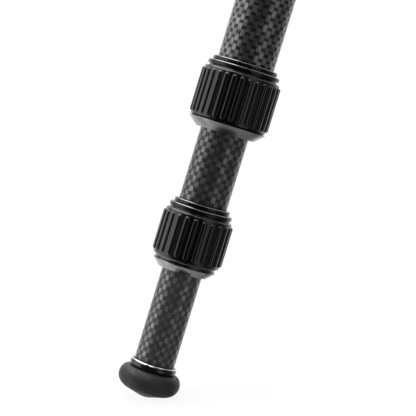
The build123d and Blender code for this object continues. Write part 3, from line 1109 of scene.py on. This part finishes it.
@dataclass(frozen=True)
class Head:
    """Plate and stud on top of the column. Heights are in the tripod's frame, in millimetres."""

    base: float = 673.99
    web_base: float = 687.99
    top: float = 695.99
    stud_top: float = 706.98
    radius: float = 30.0
    column_radius: float = 14.05
    socket_wall: float = 3.0
    stud_radius: float = 4.76
    thread_pitch: float = 1.5875
    thread_height: float = 0.8
    flange_radius: float = 9.0
    flange_height: float = 3.0
    fit: float = 0.05
    grooves: int = 2
    groove_margin: float = 1.4
    groove_depth: float = 0.5
    groove_slope: float = 0.3
    groove_width: float = 1.0
    groove_pitch: float = 2.0
    rim_bevel: float = 0.8
    pad_gap: float = 0.1
    pad_inner: float = 8.0
    pad_outer: float = 27.4
    pad_depth: float = 0.6
    pad_ridges: int = 12
    pad_ridge_depth: float = 0.25

    def plate(self) -> bpy.types.Object:
        """Round plate with two turned grooves in its rim and a recess for the pad.

        Returns:
            The plate.
        """
        socket = self.column_radius + self.socket_wall
        skirt = self.web_base + self.socket_wall / 2
        floor = self.top - self.pad_depth
        inner, outer = self.pad_inner - self.pad_gap, self.pad_outer + self.pad_gap
        grooves: Outline = []
        for i in range(self.grooves):
            height = skirt + self.groove_margin + i * self.groove_pitch
            end, bottom = height + self.groove_width, self.radius - self.groove_depth
            grooves += [(self.radius, height), (bottom, height + self.groove_slope),
                        (bottom, end - self.groove_slope), (self.radius, end)]
        bore = self.stud_radius + self.fit
        return lathe("head_plate_dressed", [
            (self.column_radius, self.base), (socket, self.base), (socket, self.web_base - self.socket_wall),
            (self.radius, skirt), *grooves, (self.radius, self.top - self.rim_bevel),
            (self.radius - self.rim_bevel, self.top), (outer, self.top), (outer, floor), (inner, floor),
            (inner, self.top), (bore, self.top), (bore, self.web_base), (self.column_radius, self.web_base),
        ], segments=144, round_mm=0.2)

    def pad(self) -> bpy.types.Object:
        """Rubber pad in the recess, with fine rings that grip the head.

        Returns:
            The pad.
        """
        low, high = self.top - self.pad_depth, self.top - 0.02
        valley = high - self.pad_ridge_depth
        pitch = (self.pad_outer - self.pad_inner - 1.0) / self.pad_ridges
        ridges: Outline = []
        for i in range(self.pad_ridges):
            outer = self.pad_outer - 0.5 - i * pitch
            ridges += [(outer, high), (outer - pitch * 0.55, high), (outer - pitch * 0.7, valley),
                       (outer - pitch * 0.9, valley)]
        return lathe("head_plate_pad", [
            (self.pad_inner, low), (self.pad_outer, low), (self.pad_outer, high), *ridges,
            (self.pad_inner + 0.3, high), (self.pad_inner, high)], segments=96, round_mm=0.0)

    def stud(self) -> bpy.types.Object:
        """Flanged stud whose thread is a triangle wound up round its core.

        Returns:
            The stud.
        """
        root = self.stud_radius - self.thread_height * 0.72
        shank = self.stud_radius - 0.4
        flange_top = self.web_base - self.fit
        flange_base = flange_top - self.flange_height
        core = lathe("head_stud_dressed", [
            (0, flange_base), (self.flange_radius, flange_base), (self.flange_radius, flange_top),
            (shank, flange_top), (shank, self.top - 0.3), (root, self.top + 0.1),
            (root, self.stud_top - 0.7), (root - 0.7, self.stud_top), (0, self.stud_top)],
            segments=64, round_mm=0.1)
        clear_selection()
        bpy.ops.mesh.primitive_circle_add(
            vertices=3, radius=self.thread_height * MM, rotation=(math.pi / 2, -math.pi / 2, 0),
            location=((self.stud_radius - self.thread_height - 0.02) * MM, 0, (self.top + 0.75) * MM))
        thread = bpy.context.object
        bpy.ops.object.transform_apply(location=True, rotation=True, scale=False)
        apply_modifier(thread, "SCREW", angle=2 * math.pi, screw_offset=self.thread_pitch * MM, iterations=6,
                       steps=48, render_steps=48, axis="Z", use_normal_calculate=True, use_smooth_shade=False)
        with editing(thread):
            bpy.ops.mesh.fill_holes(sides=3)
            face_outward()
        return join_pieces([core, thread])

    def build(self) -> set[str]:
        """Model, dress and place the head's pieces.

        Returns:
            The names of the nodes that they stand for.
        """
        coat = replace(FINISHES[Slot.CAST_BLACK], edge_mm=0.0)
        steel = replace(FINISHES[Slot.STEEL], edge_mm=0.0)
        rubber = Rubber(Slot.GRIP_RUBBER, roughness=0.6, shade=0.012, grain=2000.0, relief=0.05, specular=0.3)
        for piece, node, finish in (
            (self.plate(), "head_plate", coat), (self.pad(), None, rubber), (self.stud(), "head_stud", steel),
        ):
            finish_piece(piece, "column", node, finish.material(piece.name + "_finish"))
        return {"head_plate", "head_stud"}


@dataclass(frozen=True)
class Latch:
    """Pull-out angle latch, upright in the leg's frame."""

    pivot: float = 650.0
    inner_end: float = -13.0
    tab_start: float = 11.3
    tab_depth: float = 5.0
    tab_width: float = 17.0
    tab_height: float = 12.0
    tongue_width: float = 11.0
    tongue_height: float = 5.4
    middle: float = 10.7
    tab_rounding: float = 1.2
    rounding: float = 0.3
    ridges: int = 4
    ridge_rise: float = 0.5
    ridge_root: float = 0.6
    ridge_margin: float = 2.0
    ridge_share: float = 0.45

    def block(self, x: tuple[float, float], width: float, z: float, height: float, rounding: float,
              segments: int = 3) -> bpy.types.Object:
        """Rounded block.

        Args:
            x: its two ends outwards from the leg's axis.
            width: its size across.
            z: height of its middle above the pivot.
            height: its height.
            rounding: rounding of its edges.
            segments: divisions of the rounding.

        Returns:
            The block.
        """
        clear_selection()
        bpy.ops.mesh.primitive_cube_add(size=1, location=(sum(x) / 2 * MM, 0, (self.pivot + z) * MM),
                                        scale=((x[1] - x[0]) * MM, width * MM, height * MM))
        piece = bpy.context.object
        bpy.ops.object.transform_apply(location=True, rotation=False, scale=True)
        apply_modifier(piece, "BEVEL", width=rounding * MM, segments=segments)
        return piece

    def build(self) -> bpy.types.Object:
        """Tongue, thumb tab and the ridges on the tab's face, joined.

        Returns:
            The latch.
        """
        face = self.tab_start + self.tab_depth
        parts = [
            self.block((self.inner_end, face - 1), self.tongue_width, self.middle, self.tongue_height,
                       self.rounding),
            self.block((self.tab_start, face), self.tab_width, self.middle, self.tab_height,
                       self.tab_rounding, segments=5),
        ]
        step = (self.tab_height - 1.5 * self.ridge_margin) / self.ridges
        ends = (face - self.ridge_root, face + self.ridge_rise)
        for i in range(self.ridges):
            height = self.middle + (i - (self.ridges - 1) / 2) * step
            parts.append(self.block(ends, self.tab_width - 2 * self.ridge_margin, height,
                                    step * self.ridge_share, self.rounding))
        return join_pieces(parts)


@dataclass(frozen=True)
class PatternPiece:
    """One piece of a leg, upright on the origin, with the ending of its body's name and its finish."""

    model: bpy.types.Object
    body: str
    finish: Finish


@dataclass
class LegPattern:
    """The pieces of one leg, upright on the origin, that each leg copies."""

    sizes: Sizes = SIZES
    pieces: dict[str, PatternPiece] = field(default_factory=dict)

    def build(self) -> None:
        """Model every piece once."""
        for tube in TUBES:
            self.pieces[tube.tier + "_tube"] = PatternPiece(tube.build(), tube.body, tube.weave)
        for lock in LOCKS:
            place = Matrix.Translation((0, 0, lock.base * MM))
            for part, model, body, finish in (
                ("_nut", lock.nut(), "_" + lock.tier, lock.nut_finish()),
                ("_grip", lock.grip(), "_" + lock.tier, FINISHES[Slot.GRIP_RUBBER]),
                ("_sleeve", lock.sleeve(), lock.sleeve_body, lock.sleeve_finish()),
            ):
                model.data.transform(place)
                self.pieces[lock.tier + part] = PatternPiece(model, body, finish)
        latch, rubber = FINISHES[Slot.SATIN_METAL], FINISHES[Slot.FOOT_RUBBER]
        self.pieces["angle_latch"] = PatternPiece(Latch().build(), "_latch", latch)
        self.pieces["foot_plug"] = PatternPiece(self.foot_plug(), "_lower", self.collar_finish_with_highlight())
        self.pieces["foot_pad"] = PatternPiece(self.foot_pad(), "_lower", rubber)

    def collar_finish_with_highlight(self) -> BandedMetal:
        """Black collar with a thin bright line near its upper edge: a bright metal band that is a painted
        highlight, where the bead's highlight line falls.

        Returns:
            The finish.
        """
        edge = self.sizes.foot_height + self.sizes.collar_height
        # Painted highlight: the bright band's depths below the collar's top.
        low, high = self.sizes.collar_highlight_line
        return BandedMetal(Slot.GLOSS_BLACK, roughness=0.10, color=(0.66,) * 3, coat=0.2, relief=0.003,
                           metal_and_highlight_bands_mm=((edge - low, edge - high),))

    def foot_plug(self) -> bpy.types.Object:
        """Rounded collar bead, with the plug above it and the stud below.

        Returns:
            The plug.
        """
        s = self.sizes
        low, high = s.foot_height, s.foot_height + s.collar_height
        middle = (s.collar_radius - s.collar_bulge, (low + high) / 2)
        bead = arc(middle, (s.collar_bulge, s.collar_height / 2), -90, 90, steps=10)
        plug = s.tube_radius - s.tube_wall - s.fit
        return lathe("foot_plug_pattern", [
            (0, low - s.stud_length), (s.stud_radius, low - s.stud_length), (s.stud_radius, low), *bead,
            (plug, high), (plug, high + s.plug_length), (0, high + s.plug_length)], round_mm=0.05)

    def foot_pad(self) -> bpy.types.Object:
        """Rubber foot: shallow cone with a rounded tip, a full round side and a bore for the stud.

        Returns:
            The foot.
        """
        s = self.sizes
        tilt = math.radians(s.leg_angle)
        widest, top, centre = s.foot_widest, s.foot_height - s.fit, s.foot_side_centre
        reach = s.foot_radius - centre
        stand_off = widest * math.cos(tilt) - centre * math.sin(tilt)
        drop = math.sqrt(stand_off ** 2 - (reach * math.sin(tilt)) ** 2) / math.cos(tilt)
        first = -math.degrees(math.atan2(drop * math.cos(tilt), reach * math.sin(tilt)))
        low_arc = arc((centre, widest), (reach, drop), first, 0, steps=14)
        shoulder = (s.foot_radius - s.foot_shoulder, top - widest)
        high_arc = arc((s.foot_shoulder, widest), shoulder, 0, 90, steps=12)
        bend = s.foot_tip / math.sin(tilt)
        tip_base = s.foot_tip * math.tan(tilt) - bend * (1 - math.cos(tilt))
        tip_arc = arc((0, tip_base + bend), (bend, bend), -90, -90 + s.leg_angle, steps=4)
        bore = s.stud_radius + s.fit
        return lathe("foot_pad_pattern", [
            (0, tip_base), *tip_arc[1:], *low_arc, *high_arc[1:], (bore, top), (bore, s.foot_bore_base),
            (0, s.foot_bore_base)], round_mm=0.1)

    def remove(self) -> None:
        """Delete the pattern pieces once every leg has its copies."""
        for piece in self.pieces.values():
            bpy.data.objects.remove(piece.model)


@dataclass
class Leg:
    """One leg, dressed and set on its bodies."""

    number: int
    azimuth: float

    def build(self, pattern: LegPattern) -> set[str]:
        """Copy every pattern piece into this leg's place and dress it.

        Args:
            pattern: the pieces to copy.

        Returns:
            The names of the nodes that they stand for.
        """
        place = SIZES.leg_place(self.azimuth)
        name = f"leg_{self.number}"
        made: dict[Finish, bpy.types.Material] = {}
        for part, source in pattern.pieces.items():
            finish = source.finish
            if finish not in made:
                made[finish] = finish.material(f"{name}_{part}_finish", place)
            piece = copy_piece(source.model, f"{name}_{part}_dressed", place)
            finish_piece(piece, name + source.body, f"{name}_{part}", made[finish])
        return {f"{name}_{part}" for part in pattern.pieces}


# Set, lights and camera


def put_in_scene(data: bpy.types.ID, place: Vector, direction: Vector) -> bpy.types.Object:
    """Put a camera or a lamp in the scene.

    Args:
        data: the camera's or lamp's data.
        place: where it stands.
        direction: the way it looks.

    Returns:
        Its object, named like its data.
    """
    thing = bpy.data.objects.new(data.name, data)
    bpy.context.scene.collection.objects.link(thing)
    thing.location = place
    thing.rotation_euler = direction.to_track_quat("-Z", "Y").to_euler()
    return thing


@dataclass(frozen=True)
class CloseCamera:
    """Camera at the photograph's viewing angle, close to the lower part of leg 1."""

    azimuth: float = 11.364
    elevation: float = 9.281
    distance_mm: float = 756.4
    height_on_leg_mm: float = 97.14
    aside_mm: float = 3.03
    field_of_view: float = 15.232
    leg_azimuth: float = LEG_AZIMUTHS[0]

    def directions(self) -> tuple[Vector, Vector]:
        """The camera's right and forward directions.

        Returns:
            The two directions.
        """
        turn, tilt = math.radians(self.azimuth), math.radians(self.elevation)
        right = Vector((math.cos(turn), math.sin(turn), 0))
        level = Vector((-math.sin(turn), math.cos(turn), 0))
        return right, level * math.cos(tilt) - Vector((0, 0, math.sin(tilt)))

    def build(self) -> None:
        """Create the camera and make it the scene's."""
        right, forward = self.directions()
        place = SIZES.leg_place(self.leg_azimuth)
        target = place @ Vector((0, 0, self.height_on_leg_mm * MM)) + right * self.aside_mm * MM
        data = bpy.data.cameras.new("close_camera")
        data.sensor_fit = "HORIZONTAL"
        data.angle = math.radians(self.field_of_view)
        start = target - forward * self.distance_mm * MM
        bpy.context.scene.camera = put_in_scene(data, start, forward)


@dataclass(frozen=True)
class SoftBox:
    """Soft lamp that points at the tripod: its place in degrees and metres, its size and its watts."""

    name: str
    turn: float
    elevation: float
    distance: float
    width: float
    height: float
    power: float

    def build(self, camera_azimuth: float) -> None:
        """Set up the lamp, with its turn counted from the camera's side.

        Args:
            camera_azimuth: the camera's azimuth in degrees.
        """
        turn, tilt = math.radians(camera_azimuth - 90 + self.turn), math.radians(self.elevation)
        level = math.cos(tilt)
        offset = Vector((math.cos(turn) * level, math.sin(turn) * level, math.sin(tilt))) * self.distance
        data = bpy.data.lights.new(self.name, "AREA")
        data.shape = "RECTANGLE"
        data.size, data.size_y, data.energy = self.width, self.height, self.power
        lamp = put_in_scene(data, LAMP_AIM + offset, -offset)
        lamp.visible_camera = lamp.visible_glossy = False


@dataclass(frozen=True)
class Studio:
    """White surroundings, a pale floor and soft lamps.

    Apart from the camera's white background, the surroundings are four rings of grey, level, above, below
    and right under the object, by turn in degrees from the camera's side: white behind the object, a broad
    soft panel on the left, a weaker one on the right, two panels overhead and a dark room behind the camera.
    """

    camera: CloseCamera
    level: Pairs = (
        (-180, 1.0), (-142, 1.0), (-132, 0.45), (-118, 0.45), (-108, 1.0), (-72, 1.0), (-60, 0.14),
        (-38, 0.02), (12, 0.012), (18, 0.03), (28, 0.36), (48, 0.36), (62, 0.06), (106, 0.10), (128, 0.5),
        (146, 1.0), (180, 1.0),
    )
    above: Pairs = (
        (-180, 0.8), (-130, 0.8), (-105, 1.0), (-40, 1.0), (-31, 0.08), (-7, 0.08), (0, 0.9), (24, 0.9),
        (32, 0.02), (66, 0.02), (71, 0.5), (94, 0.5), (100, 0.14), (140, 0.25), (165, 0.8), (180, 0.8),
    )
    below: Pairs = (
        (-180, 0.30), (-164, 0.40), (-150, 0.80), (-115, 0.80), (-70, 0.50), (-35, 0.08), (10, 0.06),
        (45, 0.15), (120, 0.15), (180, 0.30),
    )
    under: Pairs = (
        (-180, 0.34), (-174, 0.30), (-165, 0.03), (-136, 0.03), (-126, 0.30), (-60, 0.40), (40, 0.40),
        (150, 0.34), (180, 0.34),
    )
    panel_strength: float = 1.6
    overhead_strength: float = 2.5
    overhead_gloss: float = 1.8
    panel_reach: float = 140.0
    above_edges: tuple[float, float] = (30.0, 50.0)
    below_edges: tuple[float, float] = (-50.0, -28.0)
    under_edges: tuple[float, float] = (-64.0, -58.0)
    floor_shade: float = 0.92
    floor_roughness: float = 0.9
    floor_clear: float = 0.92
    floor_radius: float = 14.0
    lamps: tuple[SoftBox, ...] = (
        SoftBox("left_softbox", -80, 30, 1.6, 0.7, 1.6, 7),
        SoftBox("right_softbox", 85, 25, 1.8, 0.6, 1.6, 2),
        SoftBox("top_softbox", -20, 78, 1.8, 1.2, 1.2, 4),
    )

    def world(self) -> None:
        """White for the camera, the rings of surroundings for everything else."""
        world = bpy.data.worlds.new("studio")
        bpy.context.scene.world = world
        world.use_nodes = True
        g = Graph(world.node_tree)
        right, forward = self.camera.directions()
        toward = Vector((-forward.x, -forward.y, 0)).normalized()
        x, y, z = g.split(g.add("TexCoord").outputs["Generated"])

        def along(axis: Vector) -> Socket:
            """How far the direction goes along an axis."""
            return g.plus(g.plus(g.times(x, axis.x), g.times(y, axis.y)), g.times(z, axis.z))

        turn = g.plus(g.over(g.math("ARCTAN2", along(right), along(toward)), 2 * math.pi), 0.5)

        def ring(stops: Pairs) -> Socket:
            """Grey of one ring at the direction's turn."""
            return g.steps(turn, tuple((angle / 360 + 0.5, grey) for angle, grey in stops))

        def rising(edges: tuple[float, float]) -> Socket:
            """From 0 to 1 between two elevations in degrees."""
            return g.ramp(z, *(math.sin(math.radians(edge)) for edge in edges), 0.0, 1.0)

        level = ring(self.level)
        side = g.math("LESS_THAN", g.math("ABSOLUTE", g.minus(turn, 0.5)), self.panel_reach / 360)
        panels = g.times(level, self.panel_strength)
        gloss = g.times(g.add("LightPath").outputs["Is Glossy Ray"], self.overhead_gloss)
        overhead = g.times(ring(self.above), g.plus(gloss, self.overhead_strength))
        lowest = g.mix(rising(self.under_edges), ring(self.under), ring(self.below))
        surround = g.mix(side, level, g.join(panels, panels, panels))
        surround = g.mix(rising(self.above_edges), surround, g.join(overhead, overhead, overhead))
        surround = g.mix(rising(self.below_edges), lowest, surround)
        seen = g.add("LightPath").outputs["Is Camera Ray"]
        g.feed(world.node_tree.nodes["Background"].inputs["Color"], g.mix(seen, surround, (1, 1, 1, 1)))

    def floor(self) -> None:
        """Wide pale floor, white for the camera, that keeps a faint shadow.

        It is mostly clear to the camera, over the same white, so legs that reach below it still show.
        """
        clear_selection()
        bpy.ops.mesh.primitive_circle_add(vertices=96, radius=self.floor_radius, fill_type="NGON")
        floor = bpy.context.object
        floor.name = "floor"
        material, g, shader = new_material("floor_paper")
        shader.inputs["Base Color"].default_value = (self.floor_shade,) * 3 + (1,)
        shader.inputs["Roughness"].default_value = self.floor_roughness
        seen = g.times(g.add("LightPath").outputs["Is Camera Ray"], self.floor_clear)
        blend = g.fed("MixShader", seen, shader.outputs[0], g.add("BsdfTransparent").outputs[0])
        g.feed(material.node_tree.nodes["Material Output"].inputs[0], blend.outputs[0])
        floor.data.materials.append(material)
        floor.visible_glossy = False

    def build(self) -> None:
        """Set up the world, the floor and the lamps."""
        self.world()
        self.floor()
        for lamp in self.lamps:
            lamp.build(self.camera.azimuth)


def dress_remaining_nodes(replaced: set[str]) -> None:
    """Give every node that no new piece stands for the finish of its slot.

    Args:
        replaced: the nodes that new pieces stand for.
    """
    slots = {part["node"]: part["material_slot"] for part in frame["record"]["subparts"]}
    made: dict[Slot, bpy.types.Material] = {}
    for node, piece in frame["nodes"].items():
        if node in replaced:
            continue
        slot = Slot(slots[node])
        if slot not in made:
            made[slot] = FINISHES[slot].material("solid_" + slot.value)
        piece.data.materials.clear()
        piece.data.materials.append(made[slot])


def main() -> None:
    """Build the tripod's looks around the frame."""
    logging.basicConfig(level=logging.INFO, format="%(message)s")
    bpy.context.scene.view_settings.view_transform = "Standard"
    for make_group in (make_speckle_group, make_turning_group, make_weave_group):
        make_group()
    pattern = LegPattern()
    pattern.build()
    replaced: set[str] = set()
    for number, azimuth in enumerate(LEG_AZIMUTHS, start=1):
        replaced |= Leg(number, azimuth).build(pattern)
    pattern.remove()
    replaced |= Head().build()
    dress_remaining_nodes(replaced)
    camera = CloseCamera()
    camera.build()
    Studio(camera).build()


if __name__ == "__main__":
    main()
